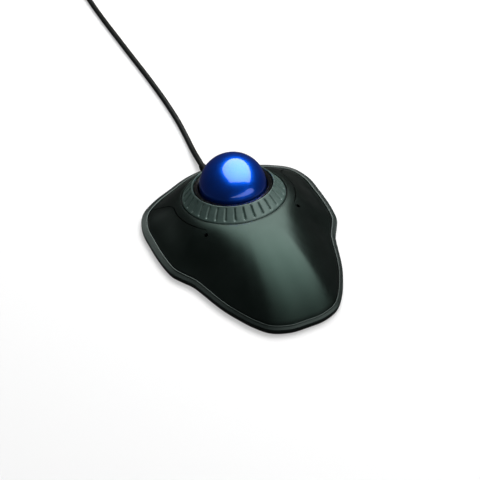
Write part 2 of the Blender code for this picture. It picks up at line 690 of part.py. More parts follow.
def cord():
    """The inner lead, the straight stretch, the coil with its tie and the short end to the plug."""
    tube("inner_lead", INNER_LEAD_ROUTE, INNER_LEAD_RADIUS)
    tube("cord", CORD_ROUTE, CORD_RADIUS)
    tube("cord_end", CORD_END_ROUTE, CORD_RADIUS)
    round_off = 1.2 * MM
    profile = [(COIL_INNER, COIL_BOTTOM + round_off), (COIL_INNER + round_off, COIL_BOTTOM),
               (COIL_OUTER - round_off, COIL_BOTTOM), (COIL_OUTER, COIL_BOTTOM + round_off),
               (COIL_OUTER, COIL_TOP - round_off), (COIL_OUTER - round_off, COIL_TOP),
               (COIL_INNER + round_off, COIL_TOP), (COIL_INNER, COIL_TOP - round_off)]
    place("cord_coil", turned(profile, 28, Matrix.Translation((*COIL_CENTRE, 0))), "cord_black")
    cable_tie()


def cable_tie():
    """Flat strap round the coil's turns, nearest the mouse."""
    x, y = COIL_CENTRE
    middle, half_depth = y - (COIL_OUTER + COIL_INNER) / 2, (COIL_OUTER - COIL_INNER) / 2 + GAP
    top = COIL_TOP + GAP
    strap = centred_block(x, middle, TIE_WIDTH / 2, half_depth + TIE_THICKNESS, 0, top + TIE_THICKNESS)
    tie = place("cable_tie", strap, "inner_black", smooth=False)
    combine(tie, centred_block(x, middle, TIE_WIDTH, half_depth, TIE_THICKNESS, top), "DIFFERENCE")


def plug():
    """USB plug lying beside the coil and pointing back to the mouse: grip, metal shell and tongue."""
    x, y, z = PLUG_PLACE
    loops = []
    for depth, half_x, half_z in reversed(PLUG_GRIP):
        inner_x, inner_z = half_x - PLUG_CORNER, half_z - PLUG_CORNER
        ring = [(half_x, inner_z), (inner_x, half_z), (-inner_x, half_z), (-half_x, inner_z),
                (-half_x, -inner_z), (-inner_x, -half_z), (inner_x, -half_z), (half_x, -inner_z)]
        loops.append([(x + a * MM, y - depth * MM, z + b * MM) for a, b in ring])
    place("plug_grip", loft(loops), "cord_black")
    face = y - PLUG_GRIP[-1][0] * MM - GAP
    width, length, height = PLUG_METAL
    middle = face - length / 2
    tube_shape = centred_block(x, middle, width / 2, length / 2, z - height / 2, z + height / 2)
    shell = place("plug_shell", tube_shape, "steel", smooth=False)
    hollow = centred_block(x, middle, width / 2 - PLUG_WALL, length, z - height / 2 + PLUG_WALL,
                           z + height / 2 - PLUG_WALL)
    combine(shell, hollow, "DIFFERENCE")
    tongue = block((x - 5.3 * MM, face - 11.5 * MM, z - 0.1 * MM), (x + 5.3 * MM, face, z + 1.6 * MM))
    place("plug_tongue", tongue, "contact_white", smooth=False)


def build():
    """Model every piece."""
    clear_scene()
    top_parts()
    rim_band()
    bottom_shell()
    scroll_ring()
    encoder_ring()
    ring_track()
    ball()
    ball_cup()
    bearing_beads()
    main_board()
    switches()
    sensor_group()
    sensor_ribbon()
    light_gate()
    board_components()
    fasteners()
    feet()
    strain_relief()
    cord()
    plug()


build()
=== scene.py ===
"""Looks of the trackball mouse: fine shells, ribbed ring, polished ball, cord and studio."""
import json
import math

import bmesh
import bpy
import numpy as np
from mathutils import Matrix, Vector


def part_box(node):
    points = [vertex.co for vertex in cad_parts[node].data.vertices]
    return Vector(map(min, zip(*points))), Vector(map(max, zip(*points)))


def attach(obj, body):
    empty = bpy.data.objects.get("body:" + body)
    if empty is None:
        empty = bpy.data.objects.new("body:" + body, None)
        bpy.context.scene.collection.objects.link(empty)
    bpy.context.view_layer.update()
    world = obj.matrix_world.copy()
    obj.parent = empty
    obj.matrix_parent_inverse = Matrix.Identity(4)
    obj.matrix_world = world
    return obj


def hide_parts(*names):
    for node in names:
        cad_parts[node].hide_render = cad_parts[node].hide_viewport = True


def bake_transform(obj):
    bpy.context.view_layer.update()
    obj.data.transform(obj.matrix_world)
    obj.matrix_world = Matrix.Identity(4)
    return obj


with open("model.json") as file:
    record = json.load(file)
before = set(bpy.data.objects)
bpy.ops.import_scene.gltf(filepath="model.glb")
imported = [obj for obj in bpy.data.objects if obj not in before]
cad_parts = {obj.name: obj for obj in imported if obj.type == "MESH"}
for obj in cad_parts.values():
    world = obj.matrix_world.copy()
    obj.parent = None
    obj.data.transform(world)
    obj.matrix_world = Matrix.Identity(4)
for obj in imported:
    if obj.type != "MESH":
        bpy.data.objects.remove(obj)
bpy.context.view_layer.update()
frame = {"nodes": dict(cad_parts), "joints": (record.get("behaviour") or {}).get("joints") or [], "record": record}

MM = 0.001
GAP = 0.3 * MM

# ---------------------------------------------------------------- sizes, from the frame where it holds them

JOINTS = {joint["name"]: joint for joint in frame["joints"]}
BALL_LOW, BALL_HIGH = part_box("ball")
BALL_CENTRE = Vector(JOINTS["ball_roll"]["pos_m"])
BALL_RADIUS = (BALL_HIGH[2] - BALL_LOW[2]) / 2
RING_AXIS = Vector(JOINTS["ring_turn"]["axis"]).normalized()
TILT = math.atan2(RING_AXIS.y, RING_AXIS.z)
TURN_FRAME = Matrix.Translation(BALL_CENTRE) @ Matrix.Rotation(-TILT, 4, "X")
RING_EDGE_HEIGHT = -6.2 * MM
RIB_COUNT = 32

HALF_OUTLINE = [
    (0, 70.6), (14, 68.3), (27, 62.8), (39.5, 57), (50, 49), (55.3, 37), (56.1, 23), (55.9, 11), (54.9, 1.5),
    (53.4, -4.5), (50.2, -10), (45.9, -16.8), (43.2, -24.5), (40.6, -32.8), (37.6, -41), (33.6, -49.3),
    (28.2, -58.7), (21, -67), (10.8, -71.2), (0, -71.8),
]
BAND_WIDTH = 3.1 * MM
BAND_SHARES = (0.72, 1.2, 1.0)
RIM_HEIGHT = 5.7 * MM
HOLE_RADIUS = 31.4 * MM
HOLE_CENTRE = BALL_CENTRE + RING_EDGE_HEIGHT * RING_AXIS
HOLE_SLOPES = (-0.02, -0.12, -0.5)
RIM_SLOPES = (-0.75, -0.5, -0.9)
SHELL_DEPTH = 2.0 * MM
STATIONS = 300

SLIT_RIM_RUN = [(-50, 54.5), (-44.5, 48.4), (-40.8, 43.4), (-37.6, 39)]
SLIT_RADIUS = 36.8 * MM
SLIT_ARC = (math.radians(168), math.radians(220))
SLIT_WIDTH = 0.45 * MM
SLIT_END = (-29.4 * MM, 1.0 * MM)
SLIT_END_RADIUS = 1.1 * MM
HINGE_LENGTH = 30 * MM
BUTTON_SECTOR = math.radians(75)

CASE_SCREWS = [(-37, 46), (37, 46), (-14, -50), (14, -50)]
FEET = [(-38, 38), (38, 38), (-20, -52), (20, -52)]
FOOT_RADIUS = 5 * MM
CORD_EXIT_HEIGHT = 4.2 * MM
NOTCH_START = 60 * MM
NOTCH_RADIUS = 2.5 * MM
NOTCH_LENGTH = 15 * MM

CORD_DIAMETER = 3.5 * MM
CORD_ROUTE = [
    (0, 73.4, 4.2), (0.4, 80, 4.0), (1.1, 88, 3.0), (2.2, 97, 2.0), (3.3, 107, 1.76), (4.5, 122, 1.76),
    (5.0, 140, 1.76), (4.8, 160, 1.76), (4.1, 180, 1.76), (3.1, 200, 1.76), (2.2, 220, 1.76),
    (1.3, 240, 1.76), (0.8, 256, 1.76), (0.5, 270, 1.9), (0.5, 287, 2.5),
]
CORD_END_ROUTE = [
    (31, 324.7, 13.0), (37.6, 324.2, 12.0), (44, 322.6, 9.4), (50, 319, 6.6), (55.2, 314, 4.8),
    (58.8, 308, 4.1), (60, 301.3, 4.0),
]
COIL_CENTRE = (24 * MM, 301 * MM)
COIL_RADIUS = 23.5 * MM
COIL_FIRST_HEIGHT = 2.65 * MM
COIL_TURNS = 10.25
COIL_LAYERS = 4
COIL_PITCH = 3.6 * MM
PLUG_PLACE = (60 * MM, 301.3 * MM, 4.0 * MM)
PLUG_FACE = 24.3 * MM
TIE_THICKNESS = 0.6 * MM


# ---------------------------------------------------------------- mesh helpers

def finish_mesh(name, shape, finish, body="body", sharp=35.0, hides=()):
    """Turn a bmesh into a piece on a body, with its finish and slot, or without a body into a helper."""
    bmesh.ops.recalc_face_normals(shape, faces=shape.faces)
    if shape.calc_volume(signed=True) < 0:
        bmesh.ops.reverse_faces(shape, faces=shape.faces)
    mesh = bpy.data.meshes.new(name)
    shape.to_mesh(mesh)
    shape.free()
    mesh.shade_smooth()
    mesh.set_sharp_from_angle(angle=math.radians(sharp))
    item = bpy.data.objects.new(name, mesh)
    bpy.context.scene.collection.objects.link(item)
    if finish:
        mesh.materials.append(finish)
    if body:
        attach(item, body)
    if hides:
        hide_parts(*hides)
    return item


def loft(loops, closed=False):
    """Join equal closed loops by quads. An open loft gets flat end caps."""
    shape = bmesh.new()
    rows = [[shape.verts.new(point) for point in loop] for loop in loops]
    count = len(rows[0])
    pairs = list(zip(rows, rows[1:]))
    if closed:
        pairs.append((rows[-1], rows[0]))
    for low, high in pairs:
        for i in range(count):
            j = (i + 1) % count
            shape.faces.new((low[i], low[j], high[j], high[i]))
    if not closed:
        shape.faces.new(rows[0])
        shape.faces.new(rows[-1])
    return shape


def prism(points, low, high):
    """A vertical prism over a plan polygon."""
    return loft([[(x, y, z) for x, y in points] for z in (low, high)])


def rod(x, y, low, high, radius, segments=48):
    """A vertical round rod."""
    angles = [math.tau * i / segments for i in range(segments)]
    return prism([(x + radius * math.cos(a), y + radius * math.sin(a)) for a in angles], low, high)


def block(low, high):
    """A box between two corners."""
    base = [(low[0], low[1]), (high[0], low[1]), (high[0], high[1]), (low[0], high[1])]
    return prism(base, low[2], high[2])


def turned(profile, segments, matrix=None, closed=False):
    """Turn a (radius, height) profile about Z. Its ends lie on the axis, or it is closed in itself."""
    angles = [math.tau * i / segments for i in range(segments)]
    rings = profile if closed else profile[1:-1]
    loops = [[(r * math.cos(a), r * math.sin(a), h) for a in angles] for r, h in rings]
    shape = loft(loops, closed=closed)
    if not closed:
        for end, row in ((profile[0], 0), (profile[-1], -1)):
            shape.faces.ensure_lookup_table()
            cap = [f for f in shape.faces if len(f.verts) == segments][0 if row == 0 else -1]
            middle = bmesh.ops.poke(shape, faces=[cap])["verts"][0]
            middle.co = (0, 0, end[1])
    if matrix:
        shape.transform(matrix)
    return shape


def combine(target, shape, operation):
    """Apply a Boolean of a helper shape to an object."""
    helper = finish_mesh(target.name + "_helper", shape, None, body=None)
    change = target.modifiers.new("combine", "BOOLEAN")
    change.object = helper
    change.operation = operation
    change.solver = "EXACT"
    graph = bpy.context.evaluated_depsgraph_get()
    result = bpy.data.meshes.new_from_object(target.evaluated_get(graph))
    target.modifiers.remove(change)
    old = target.data
    target.data = result
    bpy.data.meshes.remove(old)
    bpy.data.objects.remove(helper, do_unlink=True)
    result.set_sharp_from_angle(angle=math.radians(35))


def curve_points(control, steps, closed=False):
    """Points of a Catmull-Rom curve through the control points."""
    points = np.array(control, float)
    count = len(points)
    if closed:
        padded = np.vstack([points[-1:], points, points[:2]])
        spans = count
    else:
        padded = np.vstack([2 * points[:1] - points[1:2], points, 2 * points[-1:] - points[-2:-1]])
        spans = count - 1
    result = []
    for i in range(spans):
        a, b, c, d = padded[i:i + 4]
        for k in range(steps):
            t = k / steps
            result.append(0.5 * (2 * b + (c - a) * t + (2 * a - 5 * b + 4 * c - d) * t ** 2
                                 + (3 * b - a - 3 * c + d) * t ** 3))
    if not closed:
        result.append(points[-1])
    return np.array(result)


def spaced(points, count, closed=False):
    """The same line as evenly spaced points."""
    line = np.vstack([points, points[:1]]) if closed else points
    reach_at = np.concatenate([[0], np.cumsum(np.linalg.norm(np.diff(line, axis=0), axis=1))])
    at = np.linspace(0, reach_at[-1], count, endpoint=not closed)
    return np.stack([np.interp(at, reach_at, line[:, k]) for k in range(line.shape[1])], axis=1)


def arc_points(centre, radius, start, end, count):
    """Points of an arc, angles in degrees."""
    return [(centre[0] + radius * math.cos(math.radians(a)), centre[1] + radius * math.sin(math.radians(a)))
            for a in np.linspace(start, end, count)]


# ---------------------------------------------------------------- outline and top surface

def inset(line, distance):
    """Move a clockwise closed line inwards."""
    along = np.roll(line, -1, axis=0) - np.roll(line, 1, axis=0)
    along /= np.linalg.norm(along, axis=1)[:, None]
    return line + distance * np.stack([along[:, 1], -along[:, 0]], axis=1)


OUTLINE = curve_points(HALF_OUTLINE + [(-x, y) for x, y in reversed(HALF_OUTLINE[1:-1])], 24,
                       closed=True) * MM


def reach(angle, distance):
    """Radius of the outline, moved inwards by a distance, in directions from the ring hole."""
    line = inset(OUTLINE, distance)
    angles = np.arctan2(line[:, 1] - HOLE_CENTRE.y, line[:, 0])
    radii = np.hypot(line[:, 0], line[:, 1] - HOLE_CENTRE.y)
    order = np.argsort(angles)
    return np.interp(angle, angles[order], radii[order], period=math.tau)


EVEN = spaced(OUTLINE, STATIONS, closed=True)
ANGLES = np.arctan2(EVEN[:, 1] - HOLE_CENTRE.y, EVEN[:, 0])


def outline_loop(distance, height):
    """One loop of the outline, moved inwards, at a height."""
    radii = reach(ANGLES, distance)
    return [(r * math.cos(a), HOLE_CENTRE.y + r * math.sin(a), height) for a, r in zip(ANGLES, radii)]


def hole_edge(angle):
    """Plan radius and height of the tilted ring hole's edge in one direction."""
    radius = HOLE_RADIUS / math.hypot(math.cos(angle), math.sin(angle) / math.cos(TILT))
    return radius, HOLE_CENTRE.z - math.tan(TILT) * radius * math.sin(angle)


def by_direction(values, angle):
    """A smooth value from its values at the front, side and back."""
    front, side, back = values
    turn = angle + math.pi / 2
    second = ((front + back) / 2 - side) / 2
    return (front + back) / 2 - second + (front - back) / 2 * math.cos(turn) + second * math.cos(2 * turn)


def band_radii(distance):
    """Outline radii moved inwards, less at the narrow front of the band and more at its sides."""
    outer = reach(ANGLES, 0)
    shares = np.array([by_direction(BAND_SHARES, a) for a in ANGLES])
    return outer + (reach(ANGLES, distance) - outer) * shares


def band_loop(distance, height):
    """One loop of the band at a height."""
    radii = band_radii(distance)
    return [(r * math.cos(a), HOLE_CENTRE.y + r * math.sin(a), height) for a, r in zip(ANGLES, radii)]


def surface_height(angle, t, rim_radius):
    """Height of the top surface at fraction t from the ring hole to the rim."""
    start, start_height = hole_edge(angle)
    span = rim_radius - start
    rise_start = by_direction(HOLE_SLOPES, angle) * span
    rise_end = by_direction(RIM_SLOPES, angle) * span
    return ((2 * t ** 3 - 3 * t ** 2 + 1) * start_height + (t ** 3 - 2 * t ** 2 + t) * rise_start
            + (3 * t ** 2 - 2 * t ** 3) * RIM_HEIGHT + (t ** 3 - t ** 2) * rise_end)


OUTER_STEPS = 44
LIP = 0.45 * MM


def shell_section(angle, rim):
    """One closed section of the top shell: lip, outer surface, rim edge and inner surface."""
    start, _ = hole_edge(angle)
    span = rim - start

    def point(t, depth):
        """Point at a fraction of the way from the hole to the rim, sunk below the surface."""
        radius = start + t * span
        place = Vector((radius * math.cos(angle), HOLE_CENTRE.y + radius * math.sin(angle),
                        surface_height(angle, t, rim)))
        return place - RING_AXIS.lerp(Vector((0, 0, 1)), float(t)) * float(depth)

    lip = LIP / span
    turn = [math.radians(a) for a in (90, 60, 30)]
    near = [point(lip * (1 - math.sin(a)), LIP * (1 - math.cos(a))) for a in turn]
    far = [point(1 - lip * (1 - math.sin(a)), LIP * (1 - math.cos(a))) for a in reversed(turn)]
    outer = [point(t, 0) for t in np.linspace(lip, 1 - lip, OUTER_STEPS)]
    inner = [point(t, SHELL_DEPTH) for t in np.linspace(1, 0, 7)]
    return near + outer + far + inner


def shell_shape(middle=None):
    """The top shell as one closed skin, or its sector about a middle direction."""
    rims = band_radii(BAND_WIDTH + GAP)
    if middle is None:
        return loft([shell_section(a, rim) for a, rim in zip(ANGLES, rims)], closed=True)
    turns = (ANGLES - middle + math.pi) % math.tau - math.pi
    chosen = [i for i in np.argsort(turns) if abs(turns[i]) < BUTTON_SECTOR]
    return loft([shell_section(ANGLES[i], rims[i]) for i in chosen])


# ---------------------------------------------------------------- materials

def new_material(name, colour, roughness, **sockets):
    """A Principled material with further socket values by name."""
    made = bpy.data.materials.new(name)
    made.use_nodes = True
    shader = made.node_tree.nodes["Principled BSDF"]
    shader.inputs["Base Color"].default_value = (*colour, 1.0)
    shader.inputs["Roughness"].default_value = roughness
    for key, value in sockets.items():
        shader.inputs[key.replace("_", " ")].default_value = value
    return made


def node(made, kind, **settings):
    """Add a node to a material with its settings."""
    item = made.node_tree.nodes.new(kind)
    for key, value in settings.items():
        if key in item.inputs:
            item.inputs[key].default_value = value
        else:
            setattr(item, key, value)
    return item


def link(made, source, output, target, entry):
    """Connect two sockets."""
    made.node_tree.links.new(source.outputs[output], target.inputs[entry])


def noise(made, size, detail=3.0):
    """Noise in object space whose features are about the given size."""
    coords = node(made, "ShaderNodeTexCoord")
    item = node(made, "ShaderNodeTexNoise", Scale=1.0 / size, Detail=detail)
    link(made, coords, "Object", item, "Vector")
    return item


def vary_colour(made, size, low, high, detail=3.0):
    """Mottle the base colour between two colours."""
    ramp = node(made, "ShaderNodeValToRGB")
    ramp.color_ramp.elements[0].position = 0.35
    ramp.color_ramp.elements[0].color = (*low, 1)
    ramp.color_ramp.elements[1].position = 0.65
    ramp.color_ramp.elements[1].color = (*high, 1)
    link(made, noise(made, size, detail), "Fac", ramp, "Fac")
    link(made, ramp, "Color", made.node_tree.nodes["Principled BSDF"], "Base Color")


def vary_roughness(made, size, low, high, detail=4.0):
    """Vary the roughness smoothly between two values."""
    ranged = node(made, "ShaderNodeMapRange")
    ranged.inputs["From Min"].default_value = 0.3
    ranged.inputs["From Max"].default_value = 0.7
    ranged.inputs["To Min"].default_value = low
    ranged.inputs["To Max"].default_value = high
    link(made, noise(made, size, detail), "Fac", ranged, "Value")
    link(made, ranged, "Result", made.node_tree.nodes["Principled BSDF"], "Roughness")


def grain(made, size, depth, strength=0.6, detail=2.0):
    """Fine moulded texture as bump."""
    bump = node(made, "ShaderNodeBump", Strength=strength, Distance=depth)
    link(made, noise(made, size, detail), "Fac", bump, "Height")
    link(made, bump, "Normal", made.node_tree.nodes["Principled BSDF"], "Normal")


def shell_black():
    """Satin near-black moulding with a faint green cast and a very fine spark grain."""
    made = new_material("shell_black_skin", (0.0030, 0.0039, 0.0036), 0.30, Specular_IOR_Level=0.27,
                        Specular_Tint=(0.6, 1.0, 0.84, 1))
    vary_colour(made, 9 * MM, (0.0025, 0.0033, 0.0030), (0.0035, 0.0046, 0.0042))
    vary_roughness(made, 5 * MM, 0.29, 0.33)
    grain(made, 0.28 * MM, 0.012 * MM, 0.5)
    return made


def rim_gray():
    """Satin near-black band with a green cast, which looks gray where its gloss catches the light."""
    made = new_material("rim_gray_skin", (0.003, 0.005, 0.0044), 0.36, Specular_IOR_Level=0.42,
                        Specular_Tint=(0.8, 1.0, 0.93, 1))
    vary_colour(made, 6 * MM, (0.0025, 0.0042, 0.0037), (0.0036, 0.006, 0.0053))
    vary_roughness(made, 3 * MM, 0.33, 0.39)
    grain(made, 0.25 * MM, 0.012 * MM, 0.5)
    return made


def ring_gray():
    """Matte gray-green soft-touch ring."""
    made = new_material("ring_gray_skin", (0.033, 0.054, 0.048), 0.42, Specular_IOR_Level=0.7,
                        Specular_Tint=(0.8, 1.0, 0.93, 1))
    vary_colour(made, 3 * MM, (0.029, 0.048, 0.043), (0.038, 0.061, 0.054))
    vary_roughness(made, 2 * MM, 0.4, 0.46)
    grain(made, 0.3 * MM, 0.02 * MM, 0.7)
    return made


def ball_blue():
    """Deep blue pearl pigment, faintly clouded, under a polished clear coat."""
    made = new_material("ball_blue_skin", (0.001, 0.056, 0.44), 0.31, Metallic=0.95,
                        Specular_Tint=(0.02, 0.2, 0.9, 1), Coat_Weight=1.0, Coat_Roughness=0.04,
                        Coat_IOR=1.45)
    vary_colour(made, 12 * MM, (0.001, 0.052, 0.41), (0.001, 0.060, 0.47), detail=1.0)
    vary_roughness(made, 8 * MM, 0.3, 0.32)
    return made


def collar_black():
    """Gloss black cup and collar, slightly uneven in gloss."""
    made = new_material("collar_black_skin", (0.002, 0.002, 0.002), 0.2, Specular_IOR_Level=0.3)
    vary_roughness(made, 2 * MM, 0.14, 0.26)
    return made


def inner_black():
    """Plain textured black base plastic."""
    made = new_material("inner_black_skin", (0.008, 0.008, 0.008), 0.55)
    vary_colour(made, 4 * MM, (0.006, 0.006, 0.006), (0.011, 0.011, 0.011))
    grain(made, 0.4 * MM, 0.04 * MM, 0.8)
    return made


def cord_black():
    """Satin cable jacket, slightly mottled."""
    made = new_material("cord_black_skin", (0.004, 0.0045, 0.0042), 0.42, Specular_IOR_Level=0.15)
    vary_colour(made, 8 * MM, (0.0025, 0.003, 0.0027), (0.004, 0.0045, 0.0042))
    vary_roughness(made, 6 * MM, 0.36, 0.48)
    grain(made, 0.5 * MM, 0.02 * MM, 0.4)
    return made


def foot_rubber():
    """Matte rubber, lightly mottled."""
    made = new_material("foot_rubber_skin", (0.015, 0.015, 0.015), 0.85)
    vary_colour(made, 1.5 * MM, (0.010, 0.010, 0.010), (0.024, 0.024, 0.023))
    grain(made, 0.3 * MM, 0.05 * MM, 0.8)
    return made


def steel():
    """Plated steel, slightly uneven in gloss, with a faint grain."""
    made = new_material("steel_skin", (0.62, 0.62, 0.63), 0.28, Metallic=1.0)
    vary_roughness(made, 1.2 * MM, 0.26, 0.31)
    grain(made, 0.15 * MM, 0.002 * MM, 0.15)
    return made


def simple(name, low, high, roughness, size=2 * MM, **sockets):
    """A mottled plastic for pieces inside the case."""
    made = new_material(name + "_skin", low, roughness, **sockets)
    vary_colour(made, size, low, high)
    vary_roughness(made, size, max(roughness - 0.06, 0.02), roughness + 0.06)
    return made


SKINS = {
    "shell_black": shell_black(),
    "rim_gray": rim_gray(),
    "ring_gray": ring_gray(),
    "ball_blue": ball_blue(),
    "collar_black": collar_black(),
    "inner_black": inner_black(),
    "cord_black": cord_black(),
    "foot_rubber": foot_rubber(),
    "steel": steel(),
    "ceramic": simple("ceramic", (0.86, 0.84, 0.8), (0.92, 0.9, 0.87), 0.15),
    "board_green": simple("board_green", (0.01, 0.11, 0.04), (0.02, 0.16, 0.06), 0.4),
    "chip_black": simple("chip_black", (0.014, 0.014, 0.015), (0.024, 0.024, 0.026), 0.45),
    "lens_clear": simple("lens_clear", (0.8, 0.84, 0.86), (0.86, 0.9, 0.92), 0.06, Transmission_Weight=0.9),
    "plunger_red": simple("plunger_red", (0.38, 0.04, 0.03), (0.48, 0.06, 0.05), 0.45),
    "ribbon_amber": simple("ribbon_amber", (0.5, 0.26, 0.06), (0.6, 0.34, 0.1), 0.35),
    "contact_white": simple("contact_white", (0.72, 0.72, 0.7), (0.82, 0.82, 0.8), 0.5),
}


def dress_frame():
    """Give every CAD node the procedural finish of its slot."""
    for part in frame["record"]["subparts"]:
        mesh = frame["nodes"][part["node"]].data
        mesh.materials.clear()
        mesh.materials.append(SKINS[part["material_slot"]])


# ---------------------------------------------------------------- shells and buttons

def slit_line():
    """Plan line of the left slit, from beyond the rim to the hole at its end."""
    arc = [(SLIT_RADIUS * math.cos(a) / MM, (HOLE_CENTRE.y + SLIT_RADIUS * math.sin(a)) / MM)
           for a in np.linspace(*SLIT_ARC, 6)]
    return curve_points(SLIT_RIM_RUN + arc, 8) * MM


def button_region(side, grow):
    """Plan polygon that cuts a button out of the shell. Only its slit side moves with grow."""
    line = np.array([tuple(p) for p in slit_line()])
    along = np.gradient(line, axis=0)
    along /= np.linalg.norm(along, axis=1)[:, None]
    line = line - grow * np.stack([along[:, 1], -along[:, 0]], axis=1)
    end = Vector(SLIT_END)
    hinge = end + HINGE_LENGTH * Vector((-1, -1)).normalized()
    far = [tuple(end), tuple(hinge), (-90 * MM, -20 * MM), (-90 * MM, 60 * MM)]
    points = [(side * x, y) for x, y in [tuple(p) for p in line] + far]
    return points if side > 0 else points[::-1]


def cord_notch():
    """Round cutter along Y through the back wall at the cord's height."""
    place_it = Matrix.Translation((0, NOTCH_START, CORD_EXIT_HEIGHT)) @ Matrix.Rotation(-math.pi / 2, 4, "X")
    return turned([(0, 0), (NOTCH_RADIUS, 0), (NOTCH_RADIUS, NOTCH_LENGTH), (0, NOTCH_LENGTH)], 40, place_it)


def top_skins():
    """Cover and buttons cut from one surface, the buttons meeting the cover along their hinge lines."""
    cover = finish_mesh("top_cover_skin", shell_shape(), SKINS["shell_black"],
                        hides=["top_cover"])
    for side, name in ((1, "left_button"), (-1, "right_button")):
        middle = math.pi if side > 0 else 0
        button = finish_mesh(name + "_skin", shell_shape(middle), SKINS["shell_black"],
                             body=None)
        combine(button, prism(button_region(side, 0), -10 * MM, 60 * MM), "INTERSECT")
        combine(cover, prism(button_region(side, SLIT_WIDTH), -10 * MM, 60 * MM), "DIFFERENCE")
        hole = (side * SLIT_END[0], SLIT_END[1])
        for part in (cover, button):
            combine(part, rod(*hole, 0, 40 * MM, SLIT_END_RADIUS, 32), "DIFFERENCE")
        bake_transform(button)
        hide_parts(name)
    combine(cover, cord_notch(), "DIFFERENCE")


def rim_band():
    """Sloped band over an upright wall, with a bead at the band's inner edge."""
    wall = [(0.3, 2.4), (0.05, 2.5), (0, 2.7), (0, 3.75), (0.08, 3.97), (0.25, 4.07), (0.9, 4.07),
            (0.9, 2.4)]
    band = [(0.95, 4.09), (0.5, 4.09), (0.3, 4.13), (0.24, 4.25), (0.3, 4.38), (0.55, 4.48), (1.3, 4.84),
            (1.95, 5.13), (2.14, 5.22), (2.26, 5.36), (2.4, 5.56), (2.6, 5.68), (2.84, 5.7), (3.02, 5.62),
            (3.1, 5.4), (3.1, 3.4), (0.95, 3.4)]
    for name, section in (("rim_wall_skin", wall), ("rim_band_skin", band)):
        loops = [band_loop(d * MM, z * MM) for d, z in section]
        piece = finish_mesh(name, loft(loops, closed=True), SKINS["rim_gray"], sharp=60,
                            hides=["rim_band"])
        combine(piece, cord_notch(), "DIFFERENCE")


def bottom_skin():
    """Base plate with rounded lower edge, foot and screw recesses."""
    section = [(1.1, 0.7), (0.6, 0.74), (0.38, 0.9), (0.3, 1.15), (0.12, 2.1)]
    base = finish_mesh("bottom_shell_skin", loft([outline_loop(d * MM, z * MM) for d, z in section]),
                       SKINS["inner_black"], hides=["bottom_shell"])
    for x, y in CASE_SCREWS:
        combine(base, rod(x * MM, y * MM, 0, 4 * MM, 2.8 * MM), "DIFFERENCE")
    for x, y in FEET:
        combine(base, rod(x * MM, y * MM, 0, 1.2 * MM, FOOT_RADIUS + GAP), "DIFFERENCE")
    combine(base, cord_notch(), "DIFFERENCE")


# ---------------------------------------------------------------- ring, ball and cup

GROOVE_HALF_WIDTH = 0.8 * MM
GROOVE_DEPTH = 0.8 * MM


def smooth_step(low, high, value):
    """0 below low, 1 above high, smooth between."""
    t = min(max((value - low) / (high - low), 0), 1)
    return t * t * (3 - 2 * t)


def scroll_ring_skin():
    """Ribbed cone: V grooves that fade out before both edges of the face."""
    inner_top, outer_edge = Vector((24.5, 1.1)), Vector((30.6, -5.85))
    face = [inner_top.lerp(outer_edge, t) for t in np.linspace(0, 1, 19)]
    lip = [Vector(p) for p in ((23.8, -0.2), (23.82, 0.5), (23.95, 0.95), (24.2, 1.15))]
    edge = [Vector(p) for p in ((30.8, -6.15), (30.9, -6.5), (30.9, -8.3), (30.7, -8.5), (29.3, -8.5),
                                (25.3, -4.2), (25.3, -8.0), (23.8, -8.0))]
    inward = Vector((-0.752, -0.659)) * GROOVE_DEPTH
    steps_per_rib = 14
    sections = []
    for i in range(RIB_COUNT * steps_per_rib):
        turn = (i / steps_per_rib + 0.5) % 1 - 0.5
        warped = math.copysign(abs(2 * turn) ** 1.8, turn) / 2
        angle = (round(i / steps_per_rib - turn) + warped) * math.tau / RIB_COUNT
        section = []
        for k, point in enumerate(lip + face + edge):
            spot = point * MM
            t = (k - len(lip)) / (len(face) - 1)
            across = abs(warped) * math.tau / RIB_COUNT * spot.x
            depth = max(0.0, 1 - across / GROOVE_HALF_WIDTH)
            spot += inward * depth * smooth_step(0.06, 0.16, t) * (1 - smooth_step(0.86, 0.93, t))
            section.append((spot.x * math.cos(angle), spot.x * math.sin(angle), spot.y))
        sections.append(section)
    shape = loft(sections, closed=True)
    shape.transform(TURN_FRAME)
    finish_mesh("scroll_ring_skin", shape, SKINS["ring_gray"], body="ring", sharp=28,
                hides=["scroll_ring"])


def ball_skin():
    """The polished ball as an evenly divided sphere."""
    shape = bmesh.new()
    bmesh.ops.create_icosphere(shape, subdivisions=6, radius=BALL_RADIUS)
    shape.transform(Matrix.Translation(BALL_CENTRE))
    finish_mesh("ball_skin", shape, SKINS["ball_blue"], body="ball", hides=["ball"])


def cup_skin():
    """Bowl and glossy collar with rounded edges, turned about the ring's axis."""
    bowl = arc_points((0, 0), 21, -90, -4, 24)
    collar = [(20.65, -0.2), (20.6, 0.15), (20.72, 0.45), (21.0, 0.6), (22.7, 0.9), (23.1, 0.85),
              (23.28, 0.6), (23.3, 0.2), (23.3, -1.2)]
    outer = arc_points((0, 0), 22.8, -7, -90, 22)
    profile = [(r * MM, h * MM) for r, h in bowl + collar + outer]
    profile[0] = (0, profile[0][1])
    profile[-1] = (0, profile[-1][1])
    finish_mesh("ball_cup_skin", turned(profile, 160, TURN_FRAME), SKINS["collar_black"],
                hides=["ball_cup"])


# ---------------------------------------------------------------- underside

